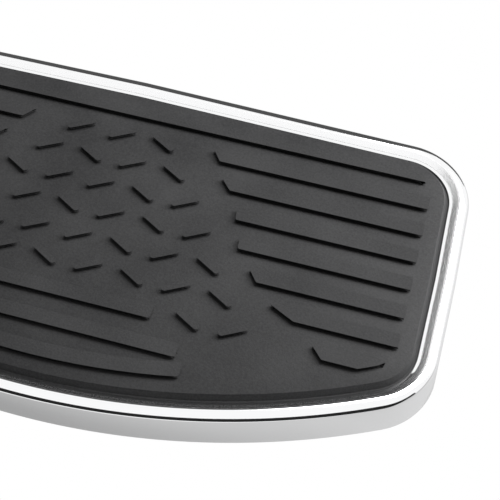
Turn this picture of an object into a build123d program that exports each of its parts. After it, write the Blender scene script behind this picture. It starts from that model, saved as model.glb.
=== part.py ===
from build123d import *
import math
import os

# A motorcycle passenger footboard: a D-shaped chromed pan with a ribbed rubber tread pad, hung on a
# bracket by two pivot pins so that it folds up against the motorcycle.
# Millimetres and degrees. The origin is the middle of the bracket's mounting face, between the two
# bolt holes. +Z is up, +Y points into the motorcycle, and the board reaches out along -Y.
# A height called a drop is measured down from the flat top of the pad, between its bars.

# Tread pad, as seen from above. Its straight edge lies along the motorcycle.
pad_half_width = 112.4
pad_depth = 114.0
side_lean = 2.8
outer_edge_radius = 233.0
inner_corner_radius = 15.4
outer_corner_radius = 14.7
pad_thickness = 7.0
bevel_width = 0.7
bevel_drop = 1.3
wall_draft = 0.6

# Raised bars across the two ends of the pad, and the long ones by its outer edge.
bar_height = 1.6
bar_width = 5.9
bar_pitch = 11.05
first_bar_edge = 8.8
bar_margin = 4.3
bar_draft = 14.0
# Where the bars start, at their inner and outer sides, from the second row on.
bar_starts = (
    (31.3, 35.8),
    (37.3, 42.7),
    (47.0, 47.8),
    (51.3, 51.9),
    (57.0, 61.6),
    (65.0, 77.2),
    (83.6, 89.2),
)
# The long bars' outer sides, measured from the middle of the outer edge, and half their lengths.
long_bar_insets = (27.3, 15.9)
long_bar_half_lengths = (33.6, 45.7)
edge_bar_half_length = 48.9

# Short slanting grip bars in the middle field.
grip_length = 10.5
grip_width = 3.0
grip_pitch = 15.0
grip_angle = 30.0
grip_clearance = 4.5

# Pan, pressed from sheet: floor, inner wall, ledge, step, crest and skirt.
sheet = 1.5
pad_gap = 0.5
ledge_drop = 2.6
ledge_width = 1.2
ledge_rise = 0.2
step_width = 2.2
crest_drop = 0.1
rim_width = 6.8
skirt_drop = 15.9
wall_foot_radius = 0.8
ledge_edge_radius = 0.4
step_foot_radius = 2.2
step_top_radius = 1.2
crest_radius = 2.8
skirt_edge_radius = 0.4
under_bend_radius = 0.5
drain_diameter = 6.0
drain_spacing = 80.0
drain_inset = 22.0

# Pad plate, studs and rubber isolators. The studs stand in from the pad's ends, the inner pair just
# beyond the hinge lugs and the outer pair in from the middle of the outer edge.
plate_thickness = 2.0
plate_inset = 4.0
stud_diameter = 6.0
stud_head_diameter = 9.0
stud_head = 1.2
stud_bevel = 0.6
inner_stud_end_inset = 20.4
stud_lug_clearance = 3.0
outer_stud_end_inset = 44.4
outer_stud_inset = 28.0
isolator_flange_diameter = 20.0
isolator_lip_diameter = 18.0
isolator_neck_diameter = 12.0
floor_gap = 2.3
isolator_lip = 1.5
stud_washer_diameter = 17.0
stud_washer = 1.0
nut_across_flats = 10.0
nut_height = 4.0
nut_collar_diameter = 9.4
nut_collar = 1.6
stud_tail = 1.0

# Hinge: lugs under the pan, bushes and pins.
lug_spacing = 110.0
hinge_inset = 12.0
lug_base = 3.5
lug_width = 48.0
lug_outer_reach = 26.0
lug_inner_reach = 4.5
lug_corner_radius = 5.0
cheek_thickness = 5.0
cheek_root = 24.0
eye_radius = 9.0
eye_headroom = 1.5
cheek_edge_radius = 0.8
thrust_washer = 0.72
spring_washer = 0.48
pin_diameter = 10.0
bush_wall = 1.5
bush_flange_width = 2.0
bush_flange = 1.0
pin_head_diameter = 17.0
pin_head = 3.0
pin_bevel = 0.8
pin_tail = 2.0
pin_washer_diameter = 18.0
pin_washer = 1.2
clip_thickness = 1.2
clip_diameter = 16.4
clip_band = 2.2
clip_prong = 3.2
clip_prong_slope = 30.0
clip_snap = 1.2
groove_depth = 1.0
rivet_diameter = 5.0
rivet_head_diameter = 9.0
rivet_head = 1.3
rivet_bevel = 0.65
rivet_edge_inset = 6.0

# Bracket: a mounting plate and two cranked arms, each with an eye and a bumper seat.
hinge_reach = 32.0
fold_drop = 13.5
arm_depth = 12.0
arm_thickness = 14.0
arm_gusset = 10.0
arm_shoulder_drop = 7.2
arm_end_flat = 2.0
neck_inset = 0.45
neck_foot_radius = 2.5
shoulder_radius = 3.0
seat_top_radius = 6.0
seat_under_radius = 8.0
crank_radius = 12.0
gusset_radius = 10.0
mount_plate = 10.0
mount_plate_height = 32.0
mount_plate_overhang = 4.0
mount_corner_radius = 7.0
bolt_spacing = 60.0
bolt_hole_diameter = 10.5
bolt_boss_diameter = 24.0
bolt_boss = 1.5
seat_reach = 52.0
seat_length = 20.0
seat_thickness = 8.0
bumper_diameter = 13.0
bumper_head = 4.0
bumper_stem_diameter = 6.0
bumper_bevel = 1.0
bumper_tail = 1.5

# Clearances.
running_clearance = 0.05
seat_clearance = 0.02
loose_clearance = 0.1
end_play = 0.1
washer_play = 0.08
stop_gap = 0.2

# Places worked out from the sizes above.
floor_drop = pad_thickness + floor_gap
floor_under_drop = floor_drop + sheet
wall_reach = bevel_width + wall_draft + pad_gap
skirt_reach = wall_reach + rim_width
hinge_drop = floor_under_drop + lug_base + eye_headroom + eye_radius
hinge_y = -hinge_reach
hinge_z = mount_plate_height / 2 + fold_drop
pad_top_z = hinge_z + hinge_drop
pad_edge_y = hinge_y + hinge_inset - skirt_reach
lug_top_z = pad_top_z - floor_under_drop
lug_under_z = lug_top_z - lug_base
lug_x = lug_spacing / 2
bush_radius = pin_diameter / 2 + running_clearance + bush_wall
cheek_inner = arm_thickness / 2 + thrust_washer + washer_play
cheek_outer = cheek_inner + cheek_thickness
bush_outer = cheek_outer + bush_flange
sides = {"left": -1, "right": 1}
lug_end_y = skirt_reach - hinge_inset - lug_outer_reach
inner_stud_y = lug_end_y - stud_lug_clearance - isolator_lip_diameter / 2
inner_stud = (pad_half_width - inner_stud_end_inset, inner_stud_y)
outer_stud = (pad_half_width - outer_stud_end_inset, outer_stud_inset - pad_depth)
stud_places = [(side * x, y) for x, y in (inner_stud, outer_stud) for side in sides.values()]
drain_places = [(side * drain_spacing / 2, drain_inset - pad_depth) for side in sides.values()]
rivet_places = [
    (side * lug_x + across * (lug_width / 2 - rivet_edge_inset), hinge_y + reach)
    for side in sides.values()
    for across in (-1, 1)
    for reach in (lug_inner_reach - rivet_edge_inset, rivet_edge_inset - lug_outer_reach)
]


def board_level(drop):
    """Level plane at a drop below the pad's top, with its origin on the middle of the straight edge."""
    return Plane(origin=(0, pad_edge_y, pad_top_z - drop))


def side_plane(x):
    """Upright plane across the hinge axis: its x runs into the motorcycle and its y upwards."""
    return Plane(origin=(x, hinge_y, hinge_z), x_dir=(0, 1, 0), z_dir=(1, 0, 0))


def axis_plane(x, direction):
    """Upright plane along the hinge axis: its x runs along the axis, in one direction, and its y upwards."""
    return Plane(origin=(x, hinge_y, hinge_z), x_dir=(direction, 0, 0), z_dir=(0, -direction, 0))


def side_x(y):
    """How far from the middle the pad's side edge lies at y."""
    return pad_half_width - y * math.tan(math.radians(side_lean))


def outline_face(grow):
    """The board's D-shaped outline, grown outwards from the edge of the pad's top, as a flat face."""
    side_grow = grow / math.cos(math.radians(side_lean))
    low_y = -2 * pad_depth
    top_x = side_x(grow) + side_grow
    low_x = side_x(low_y) + side_grow
    with BuildSketch() as outline:
        Polygon((-low_x, low_y), (low_x, low_y), (top_x, grow), (-top_x, grow), align=None)
        with Locations((0, outer_edge_radius - pad_depth)):
            Circle(outer_edge_radius + grow, mode=Mode.INTERSECT)
        fillet(outline.vertices().group_by(Axis.Y)[-1], inner_corner_radius + grow)
        fillet(outline.vertices().group_by(Axis.Y)[0], outer_corner_radius + grow)
    return outline.sketch


def bar_edge(row):
    """Distance of a row's outer side from the pad's straight edge. Row 0 lies along that edge."""
    return first_bar_edge + row * bar_pitch


def grip_places():
    """Middles and angles of the grip bars, row by row, in the field that the long bars leave free."""
    places = []
    half_span = grip_length / 2 * math.cos(math.radians(grip_angle))
    last_row = len(bar_starts)
    for row in range(1, last_row + 1):
        y = bar_width / 2 - bar_edge(row)
        inner_end = long_bar_half_lengths[0] + grip_clearance + half_span if row == last_row else 0
        outer_end = bar_starts[row - 1][0] - grip_clearance - half_span
        offset = grip_pitch / 2 * ((row + 1) % 2)
        for step in range(math.floor((outer_end - offset) / grip_pitch) + 1):
            x = offset + step * grip_pitch
            turn = grip_angle if step % 2 == 0 else -grip_angle
            if x >= inner_end:
                places.append((x, y, turn))
            if x >= inner_end and x > 0:
                places.append((-x, y, -turn))
    return places


# Outlines of the board, from the pad's foot inwards.
foot_outline = outline_face(bevel_width + wall_draft)
shoulder_outline = outline_face(bevel_width)
top_outline = outline_face(0)
floor_outline = outline_face(-sheet)
plate_outline = outline_face(-plate_inset)
bar_field = outline_face(-bar_margin)
edge_bar_inside = outline_face(-bar_margin - bar_width)

# Pan: the rim's section is swept round the outline, and the floor fills the middle.
with BuildPart() as pan:
    with BuildSketch(board_level(0), mode=Mode.PRIVATE) as rim_line:
        add(top_outline)
    rim_path = rim_line.sketch.faces()[0].outer_wire()
    along = rim_path % 0
    outward = along.cross(Vector(0, 0, 1))
    floor_lap = -2 * sheet
    step_start = wall_reach + ledge_width
    crest_start = step_start + step_width
    channel = wall_reach + sheet
    under_start = crest_start + sheet / 2
    under_width = skirt_reach - sheet - under_start
    with BuildSketch(Plane(origin=rim_path @ 0, x_dir=outward, z_dir=-along)):
        with BuildLine():
            FilletPolyline(
                (floor_lap, -floor_drop),
                (wall_reach, -floor_drop),
                (wall_reach, -ledge_drop),
                (step_start, -ledge_drop + ledge_rise),
                (crest_start, -crest_drop),
                (skirt_reach, -crest_drop),
                (skirt_reach, -skirt_drop),
                (skirt_reach - sheet, -skirt_drop),
                (skirt_reach - sheet, -crest_drop - sheet),
                (under_start, -crest_drop - sheet),
                (channel, -ledge_drop - sheet),
                (channel, -floor_under_drop),
                (floor_lap, -floor_under_drop),
                radius=(
                    0,
                    wall_foot_radius,
                    ledge_edge_radius,
                    step_foot_radius,
                    step_top_radius,
                    crest_radius,
                    skirt_edge_radius,
                    0,
                    min(crest_radius - sheet, under_width / 2),
                    min(under_bend_radius, under_width / 2),
                    under_bend_radius,
                    sheet,
                    0,
                ),
                close=True,
            )
        make_face()
    sweep(path=rim_path)
    with BuildSketch(board_level(floor_under_drop)):
        add(floor_outline)
    extrude(amount=sheet)
    with BuildSketch(board_level(floor_under_drop)):
        with Locations(*stud_places):
            Circle(isolator_neck_diameter / 2 + seat_clearance)
        with Locations(*drain_places):
            Circle(drain_diameter / 2)
    extrude(amount=sheet, mode=Mode.SUBTRACT)
    with BuildSketch(Plane.XY.offset(lug_top_z)):
        with Locations(*rivet_places):
            Circle(rivet_diameter / 2 + seat_clearance)
    extrude(amount=sheet, mode=Mode.SUBTRACT)
pan.part.label = "pan"

# Tread pad: a drafted slab with a bevelled top edge and a recess for its plate, then the raised bars.
with BuildPart() as tread_pad:
    with BuildSketch(board_level(pad_thickness)):
        add(foot_outline)
    with BuildSketch(board_level(bevel_drop)):
        add(shoulder_outline)
    loft(ruled=True)
    with BuildSketch(board_level(bevel_drop)):
        add(shoulder_outline)
    with BuildSketch(board_level(0)):
        add(top_outline)
    loft(ruled=True)
    with BuildSketch(board_level(pad_thickness)):
        add(plate_outline)
    extrude(amount=plate_thickness, mode=Mode.SUBTRACT)
    with BuildSketch(board_level(0)):
        with Locations((0, bar_width / 2 - bar_edge(0))):
            Rectangle(2 * pad_half_width, bar_width)
        for row, (inner_x, outer_x) in enumerate(bar_starts, start=1):
            outer_y = -bar_edge(row)
            inner_y = outer_y + bar_width
            end_x = side_x(outer_y)
            bar_corners = ((inner_x, inner_y), (outer_x, outer_y), (end_x, outer_y), (end_x, inner_y))
            Polygon(*bar_corners, align=None)
        mirror(about=Plane.YZ)
        add(bar_field, mode=Mode.INTERSECT)
    extrude(amount=bar_height, taper=bar_draft)
    with BuildSketch(board_level(0)):
        for inset, half_length in zip(long_bar_insets, long_bar_half_lengths):
            with Locations((0, inset + bar_width / 2 - pad_depth)):
                Rectangle(2 * half_length, bar_width)
    extrude(amount=bar_height, taper=bar_draft)
    with BuildSketch(board_level(0)):
        add(bar_field)
        add(edge_bar_inside, mode=Mode.SUBTRACT)
        with Locations((0, -pad_depth)):
            Rectangle(2 * edge_bar_half_length, pad_depth, mode=Mode.INTERSECT)
    extrude(amount=bar_height, taper=bar_draft)
    with BuildSketch(board_level(0)):
        for x, y, turn in grip_places():
            with Locations((x, y)):
                SlotOverall(grip_length, grip_width, rotation=turn)
    extrude(amount=bar_height, taper=bar_draft)
tread_pad.part.label = "tread_pad"

# Pad plate, bonded into the pad's recess, and the four flush-headed studs that are pressed into it.
with BuildPart() as pad_plate:
    with BuildSketch(board_level(pad_thickness)):
        add(plate_outline)
        with Locations(*stud_places):
            Circle(stud_diameter / 2 + seat_clearance, mode=Mode.SUBTRACT)
    extrude(amount=plate_thickness)
    with BuildSketch(board_level(pad_thickness - plate_thickness)):
        with Locations(*stud_places):
            Circle(stud_head_diameter / 2 + seat_clearance)
    extrude(amount=-stud_head, mode=Mode.SUBTRACT)
pad_plate.part.label = "pad_plate"

nut_seat = plate_thickness + floor_gap + sheet + isolator_lip + stud_washer
stud_length = nut_seat + nut_height + nut_collar + stud_tail
with BuildPart() as pad_studs:
    for diameter, length in ((stud_head_diameter, stud_head), (stud_diameter, stud_length)):
        with BuildSketch(board_level(pad_thickness - plate_thickness)):
            with Locations(*stud_places):
                Circle(diameter / 2)
        extrude(amount=-length)
    chamfer(pad_studs.faces().group_by(Axis.Z)[0].edges(), stud_bevel)
pad_studs.part.label = "pad_studs"

# Isolators: rubber grommets with a thick flange over the pan's floor and a thinner lip under it.
isolators = []
for number, place in enumerate(stud_places, start=1):
    with BuildPart() as isolator:
        for drop, diameter, height in (
            (floor_drop, isolator_flange_diameter, floor_gap),
            (floor_under_drop, isolator_neck_diameter, sheet),
            (floor_under_drop + isolator_lip, isolator_lip_diameter, isolator_lip),
        ):
            with BuildSketch(board_level(drop)):
                with Locations(place):
                    Circle(diameter / 2)
                    Circle(stud_diameter / 2 + loose_clearance, mode=Mode.SUBTRACT)
            extrude(amount=height)
    isolator.part.label = f"isolator_{number}"
    isolators.append(isolator.part)

washer_drop = floor_under_drop + isolator_lip + stud_washer
with BuildPart() as stud_washers:
    with BuildSketch(board_level(washer_drop)):
        with Locations(*stud_places):
            Circle(stud_washer_diameter / 2)
            Circle(stud_diameter / 2 + loose_clearance, mode=Mode.SUBTRACT)
    extrude(amount=stud_washer)
stud_washers.part.label = "stud_washers"

with BuildPart() as stud_nuts:
    with BuildSketch(board_level(washer_drop + nut_height)):
        with Locations(*stud_places):
            RegularPolygon(nut_across_flats / 2, 6, major_radius=False)
    extrude(amount=nut_height)
    with BuildSketch(board_level(washer_drop + nut_height)):
        with Locations(*stud_places):
            Circle(nut_collar_diameter / 2)
    extrude(amount=-nut_collar)
    with BuildSketch(board_level(washer_drop)):
        with Locations(*stud_places):
            Circle(stud_diameter / 2 + seat_clearance)
    extrude(amount=-nut_height - nut_collar, mode=Mode.SUBTRACT)
stud_nuts.part.label = "stud_nuts"

# Hinge lugs: a flange under the pan's floor and two cheeks that straddle the arm's eye.
lugs = []
for side_name, side in sides.items():
    middle = side * lug_x
    with BuildPart() as lug:
        with BuildSketch(Plane.XY.offset(lug_under_z)):
            with Locations((middle, hinge_y + (lug_inner_reach - lug_outer_reach) / 2)):
                RectangleRounded(lug_width, lug_outer_reach + lug_inner_reach, lug_corner_radius)
        extrude(amount=lug_base)
        for cheek_x in (middle - cheek_outer, middle + cheek_inner):
            with BuildPart() as cheek:
                with BuildSketch(side_plane(cheek_x)):
                    Circle(eye_radius)
                    with Locations((lug_inner_reach - cheek_root / 2, lug_under_z - hinge_z)):
                        Rectangle(cheek_root, lug_base / 2, align=(Align.CENTER, Align.MIN))
                    make_hull()
                extrude(amount=cheek_thickness)
                fillet(cheek.faces().filter_by(Axis.X).edges(), cheek_edge_radius)
        with BuildSketch(side_plane(middle - cheek_outer)):
            Circle(bush_radius + seat_clearance)
        extrude(amount=2 * cheek_outer, mode=Mode.SUBTRACT)
        with BuildSketch(Plane.XY.offset(lug_under_z)):
            with Locations(*rivet_places):
                Circle(rivet_diameter / 2 + seat_clearance)
        extrude(amount=lug_base, mode=Mode.SUBTRACT)
    lug.part.label = f"hinge_lug_{side_name}"
    lugs.append(lug.part)

with BuildPart() as lug_rivets:
    for level, diameter, height in (
        (lug_under_z - rivet_head, rivet_head_diameter, rivet_head),
        (lug_under_z, rivet_diameter, lug_base + sheet),
        (lug_top_z + sheet, rivet_head_diameter, rivet_head),
    ):
        with BuildSketch(Plane.XY.offset(level)):
            with Locations(*rivet_places):
                Circle(diameter / 2)
        extrude(amount=height)
    rivet_ends = lug_rivets.faces().filter_by(GeomType.PLANE).group_by(Axis.Z)
    chamfer(rivet_ends[0].edges() + rivet_ends[-1].edges(), rivet_bevel)
lug_rivets.part.label = "lug_rivets"


def turned_piece(label, side, direction, profile):
    """A round piece on one side's hinge pin.

    The profile is pairs of a distance along the axis from the arm's middle, in a direction that is 1
    away from the board's middle and -1 towards it, and a radius.
    """
    x = side * lug_x
    with BuildPart() as piece:
        with BuildSketch(axis_plane(x, side * direction)):
            Polygon(*profile, align=None)
        revolve(axis=Axis((x, hinge_y, hinge_z), (1, 0, 0)))
    piece.part.label = label
    return piece.part


# Bushes, pins and washers. Each pin's head is on the outer side, and its clip on the inner side.
bore = pin_diameter / 2 + running_clearance
eye_face = arm_thickness / 2
head_start = bush_outer + end_play
washer_end = bush_outer + end_play + pin_washer
clip_start = washer_end + end_play
groove_end = clip_start + clip_thickness + end_play
pin_end = groove_end + pin_tail
pin_radius = pin_diameter / 2
groove_radius = pin_radius - groove_depth
head_radius = pin_head_diameter / 2
flange_radius = bush_radius + bush_flange_width
spring_cone = thrust_washer - spring_washer
hinge_pieces = []
for side_name, side in sides.items():
    for direction, end_name in ((1, "outer"), (-1, "inner")):
        bush_profile = [
            (cheek_inner, bore),
            (bush_outer, bore),
            (bush_outer, flange_radius),
            (cheek_outer, flange_radius),
            (cheek_outer, bush_radius),
            (cheek_inner, bush_radius),
        ]
        hinge_pieces.append(turned_piece(f"hinge_bush_{side_name}_{end_name}", side, direction, bush_profile))
    pin_profile = [
        (-head_start - pin_head, 0),
        (-head_start - pin_head, head_radius - pin_bevel),
        (-head_start - pin_head + pin_bevel, head_radius),
        (-head_start, head_radius),
        (-head_start, pin_radius),
        (clip_start, pin_radius),
        (clip_start, groove_radius),
        (groove_end, groove_radius),
        (groove_end, pin_radius),
        (pin_end - pin_bevel, pin_radius),
        (pin_end, pin_radius - pin_bevel),
        (pin_end, 0),
    ]
    hinge_pieces.append(turned_piece(f"pivot_pin_{side_name}", side, -1, pin_profile))
    washer_profile = [
        (washer_end - pin_washer, bore),
        (washer_end, bore),
        (washer_end, pin_washer_diameter / 2),
        (washer_end - pin_washer, pin_washer_diameter / 2),
    ]
    hinge_pieces.append(turned_piece(f"pin_washer_{side_name}", side, -1, washer_profile))
    spring_profile = [
        (eye_face, bore),
        (eye_face + spring_washer, bore),
        (eye_face + spring_washer + spring_cone, eye_radius),
        (eye_face + spring_cone, eye_radius),
    ]
    hinge_pieces.append(turned_piece(f"spring_washer_{side_name}", side, 1, spring_profile))
    thrust_profile = [
        (eye_face, bore),
        (eye_face + thrust_washer, bore),
        (eye_face + thrust_washer, eye_radius),
        (eye_face, eye_radius),
    ]
    hinge_pieces.append(turned_piece(f"thrust_washer_{side_name}", side, -1, thrust_profile))

# Pin clips: E-shaped, pushed into the pin's groove from below.
clips = []
clip_radius = clip_diameter / 2
prong_tip = groove_radius + seat_clearance
prong_root = clip_radius - clip_band / 2
for side_name, side in sides.items():
    with BuildPart() as clip:
        with BuildSketch(side_plane(side * (lug_x - clip_start))):
            Circle(clip_radius)
            Circle(clip_radius - clip_band, mode=Mode.SUBTRACT)
            with PolarLocations(prong_root / 2, 3, start_angle=-clip_prong_slope):
                Rectangle(prong_root, clip_prong)
            Circle(prong_tip, mode=Mode.SUBTRACT)
            with Locations((0, -clip_radius)):
                Rectangle(2 * groove_radius - clip_snap, clip_diameter, mode=Mode.SUBTRACT)
        extrude(amount=-side * clip_thickness)
    clip.part.label = f"pin_clip_{side_name}"
    clips.append(clip.part)

# Bracket: the arms run low under the place where the pan's inner edge swings as the board folds,
# carry the eyes, and rise under the board to the bumpers' seats.
seat_top = hinge_drop - floor_under_drop - stop_gap - bumper_head
seat_start = seat_reach - seat_length / 2
seat_end = seat_reach + seat_length / 2
arm_top = -fold_drop
arm_bottom = arm_top - arm_depth
plate_face = hinge_reach - mount_plate
neck = eye_radius - neck_inset
plate_bottom = arm_top - mount_plate_height
plate_middle = plate_face + mount_plate / 2
# Corners of an arm, each with its fillet's radius.
arm_corners = (
    ((plate_middle, arm_top), 0),
    ((neck, arm_top), neck_foot_radius),
    ((neck, 0), 0),
    ((-neck, 0), 0),
    ((-neck, -arm_shoulder_drop), shoulder_radius),
    ((-seat_start, seat_top), seat_top_radius),
    ((-seat_end, seat_top), 0),
    ((-seat_end, seat_top - seat_thickness), 0),
    ((-seat_start, seat_top - seat_thickness), seat_under_radius),
    ((-neck, arm_bottom), crank_radius),
    ((plate_face - arm_gusset, arm_bottom), gusset_radius),
    ((plate_face, plate_bottom + mount_corner_radius), 0),
    ((plate_middle, plate_bottom + mount_corner_radius), 0),
)
with BuildPart() as mount_bracket:
    with BuildSketch(Plane.XZ):
        plate_width = lug_spacing + arm_thickness + 2 * mount_plate_overhang
        RectangleRounded(plate_width, mount_plate_height, mount_corner_radius)
    extrude(amount=mount_plate)
    with BuildSketch(Plane.XZ.offset(mount_plate)):
        with GridLocations(bolt_spacing, 0, 2, 1):
            Circle(bolt_boss_diameter / 2)
    extrude(amount=bolt_boss)
    for side in sides.values():
        with BuildSketch(side_plane(side * lug_x - arm_thickness / 2)):
            with BuildLine():
                arm_points, arm_radii = zip(*arm_corners)
                FilletPolyline(*arm_points, radius=arm_radii, close=True)
            make_face()
            Circle(eye_radius)
        extrude(amount=arm_thickness)
    arm_ends = mount_bracket.edges().filter_by(Axis.Z).group_by(Axis.Y)[0]
    fillet(arm_ends, (arm_thickness - arm_end_flat) / 2)
    with BuildSketch(Plane.XZ):
        with GridLocations(bolt_spacing, 0, 2, 1):
            Circle(bolt_hole_diameter / 2)
    extrude(amount=mount_plate + bolt_boss, mode=Mode.SUBTRACT)
    with BuildSketch(side_plane(-lug_x - arm_thickness)):
        Circle(pin_diameter / 2 + seat_clearance)
    extrude(amount=lug_spacing + 2 * arm_thickness, mode=Mode.SUBTRACT)
    with BuildSketch(Plane.XY.offset(hinge_z + seat_top)):
        with Locations((-lug_x, hinge_y - seat_reach), (lug_x, hinge_y - seat_reach)):
            Circle(bumper_stem_diameter / 2 + seat_clearance)
    extrude(amount=-seat_thickness, mode=Mode.SUBTRACT)
mount_bracket.part.label = "mount_bracket"

# Stop bumpers: rubber buttons pushed into the arms' seats, on which the pan's floor comes to rest.
bumpers = []
for side_name, side in sides.items():
    place = (side * lug_x, hinge_y - seat_reach)
    with BuildPart() as bumper:
        with BuildSketch(Plane.XY.offset(hinge_z + seat_top)):
            with Locations(place):
                Circle(bumper_diameter / 2)
        extrude(amount=bumper_head)
        chamfer(bumper.faces().sort_by(Axis.Z)[-1].edges(), bumper_bevel)
        with BuildSketch(Plane.XY.offset(hinge_z + seat_top)):
            with Locations(place):
                Circle(bumper_stem_diameter / 2)
        extrude(amount=-seat_thickness - bumper_tail)
    bumper.part.label = f"stop_bumper_{side_name}"
    bumpers.append(bumper.part)

# One file for each piece.
os.makedirs("parts", exist_ok=True)
single_pieces = (pan, tread_pad, pad_plate, pad_studs, stud_washers, stud_nuts, lug_rivets, mount_bracket)
pieces = [builder.part for builder in single_pieces]
for piece in pieces + isolators + lugs + hinge_pieces + clips + bumpers:
    export_step(piece, f"parts/{piece.label}.step")
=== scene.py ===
# A motorcycle passenger footboard, dressed around its CAD frame. Metres, +Z up, and the board reaches
# out along -Y from the bracket that holds it. Angles with a name are in degrees.
import math

import bmesh
import bpy
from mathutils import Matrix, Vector


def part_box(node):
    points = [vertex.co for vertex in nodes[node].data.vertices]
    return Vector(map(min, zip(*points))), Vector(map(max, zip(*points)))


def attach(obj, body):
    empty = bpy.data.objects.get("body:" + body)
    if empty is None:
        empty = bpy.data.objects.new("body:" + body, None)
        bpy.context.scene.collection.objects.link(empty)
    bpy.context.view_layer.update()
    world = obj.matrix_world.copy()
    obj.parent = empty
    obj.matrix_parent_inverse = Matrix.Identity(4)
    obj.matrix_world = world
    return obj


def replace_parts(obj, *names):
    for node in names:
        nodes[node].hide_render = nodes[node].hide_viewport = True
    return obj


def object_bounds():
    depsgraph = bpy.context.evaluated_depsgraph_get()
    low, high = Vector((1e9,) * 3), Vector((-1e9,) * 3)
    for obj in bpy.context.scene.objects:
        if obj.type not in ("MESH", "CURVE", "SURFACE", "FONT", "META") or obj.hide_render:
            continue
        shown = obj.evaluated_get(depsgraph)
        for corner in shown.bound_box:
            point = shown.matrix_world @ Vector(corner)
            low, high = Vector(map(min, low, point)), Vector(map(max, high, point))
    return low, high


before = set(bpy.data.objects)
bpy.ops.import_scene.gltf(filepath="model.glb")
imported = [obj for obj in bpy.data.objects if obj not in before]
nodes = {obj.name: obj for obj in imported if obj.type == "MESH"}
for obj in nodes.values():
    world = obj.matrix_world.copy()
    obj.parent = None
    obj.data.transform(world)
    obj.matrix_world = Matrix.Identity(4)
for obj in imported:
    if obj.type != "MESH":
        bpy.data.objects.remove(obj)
cad_low, cad_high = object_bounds()

# Bracket: an iron casting with a mounting plate and two cranked arms. It is blasted, powder coated in
# satin black, and then drilled for its bolts, pins and bumpers. The coat rounds every edge.
coat_edge_radius = 0.0009
edge_segments = 3
crease_angle = 32
flat_angle = 0.5
weld_distance = 0.000002
blotch_rate = 38
blotch_share = 0.45
grain_contrast = (0.36, 0.64)


def surface_group(name, inputs):
    """An empty group with named inputs and a surface's three outputs, and the nodes at its ends."""
    group = bpy.data.node_groups.new(name, "ShaderNodeTree")
    for label, kind, value in inputs:
        socket = group.interface.new_socket(label, in_out="INPUT", socket_type="NodeSocket" + kind)
        socket.default_value = value
    for label, kind in (("Color", "Color"), ("Roughness", "Float"), ("Normal", "Vector")):
        group.interface.new_socket(label, in_out="OUTPUT", socket_type="NodeSocket" + kind)
    return group, group.nodes.new("NodeGroupInput"), group.nodes.new("NodeGroupOutput")


def feed(tree, value, socket):
    """Puts a number, or what another node puts out, into a socket."""
    if isinstance(value, bpy.types.NodeSocket):
        tree.links.new(value, socket)
    else:
        socket.default_value = value


def worked(tree, kind, operation, values, output=0):
    """What a math or vector math node makes of its values."""
    node = tree.nodes.new(kind)
    node.operation = operation
    for value, socket in zip(values, node.inputs):
        feed(tree, value, socket)
    return node.outputs[output]


def mixed(tree, factor, first, second, data_type="FLOAT"):
    """What a mix node makes of two values, by a factor that goes from the first to the second."""
    node = tree.nodes.new("ShaderNodeMix")
    node.data_type = data_type
    feed(tree, factor, node.inputs["Factor"])
    feed(tree, first, node.inputs["A"])
    feed(tree, second, node.inputs["B"])
    return node.outputs["Result"]


def noise(tree, place, rate, detail=2, roughness=0.5):
    """Noise over the places of a surface, at a rate for each metre."""
    node = tree.nodes.new("ShaderNodeTexNoise")
    node.inputs["Detail"].default_value = detail
    node.inputs["Roughness"].default_value = roughness
    tree.links.new(place, node.inputs["Vector"])
    feed(tree, rate, node.inputs["Scale"])
    return node.outputs["Fac"]


def surfaced(ends, colour_by, roughness_by, roughnesses, height):
    """Ends a surface group: its two colours and two roughnesses by a factor each, and its relief."""
    group, start, end = ends
    low, high = roughnesses
    colour = mixed(group, colour_by, start.outputs["Dark"], start.outputs["Light"], "RGBA")
    roughness = mixed(group, roughness_by, start.outputs[low], start.outputs[high])
    bump = group.nodes.new("ShaderNodeBump")
    group.links.new(height, bump.inputs["Height"])
    group.links.new(start.outputs["Relief"], bump.inputs["Distance"])
    group.links.new(colour, end.inputs["Color"])
    group.links.new(roughness, end.inputs["Roughness"])
    group.links.new(bump.outputs["Normal"], end.inputs["Normal"])
    return group


def grain_group():
    """Mottled grain in two sizes, for castings, coats and mouldings: colour, roughness and relief."""
    ends = surface_group(
        "surface_grain",
        (
            ("Dark", "Color", (0.02, 0.02, 0.02, 1)),
            ("Light", "Color", (0.04, 0.04, 0.04, 1)),
            ("Grain Size", "Float", 0.001),
            ("Relief", "Float", 0.00005),
            ("Smooth", "Float", 0.4),
            ("Rough", "Float", 0.6),
        ),
    )
    group, start, _ = ends
    place = group.nodes.new("ShaderNodeTexCoord").outputs["Object"]
    rate = worked(group, "ShaderNodeMath", "DIVIDE", (1, start.outputs["Grain Size"]))
    fine = noise(group, place, rate, detail=5, roughness=0.62)
    broad = noise(group, place, blotch_rate, detail=3)
    spread = group.nodes.new("ShaderNodeMapRange")
    spread.inputs["From Min"].default_value = grain_contrast[0]
    spread.inputs["From Max"].default_value = grain_contrast[1]
    group.links.new(mixed(group, blotch_share, fine, broad), spread.inputs["Value"])
    mottle = spread.outputs["Result"]
    return surfaced(ends, mottle, mottle, ("Smooth", "Rough"), fine)


grain = grain_group()


def finish_of(name, effect, effect_values, shader_values):
    """A material whose colour, roughness and relief come from one effect group."""
    material = bpy.data.materials.new(name)
    material.use_nodes = True
    tree = material.node_tree
    shader = tree.nodes["Principled BSDF"]
    for label, value in shader_values.items():
        shader.inputs[label].default_value = value
    effect_node = tree.nodes.new("ShaderNodeGroup")
    effect_node.node_tree = effect
    for label, value in effect_values.items():
        effect_node.inputs[label].default_value = value
    for output, socket in (("Color", "Base Color"), ("Roughness", "Roughness"), ("Normal", "Normal")):
        tree.links.new(effect_node.outputs[output], shader.inputs[socket])
    return material


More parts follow.
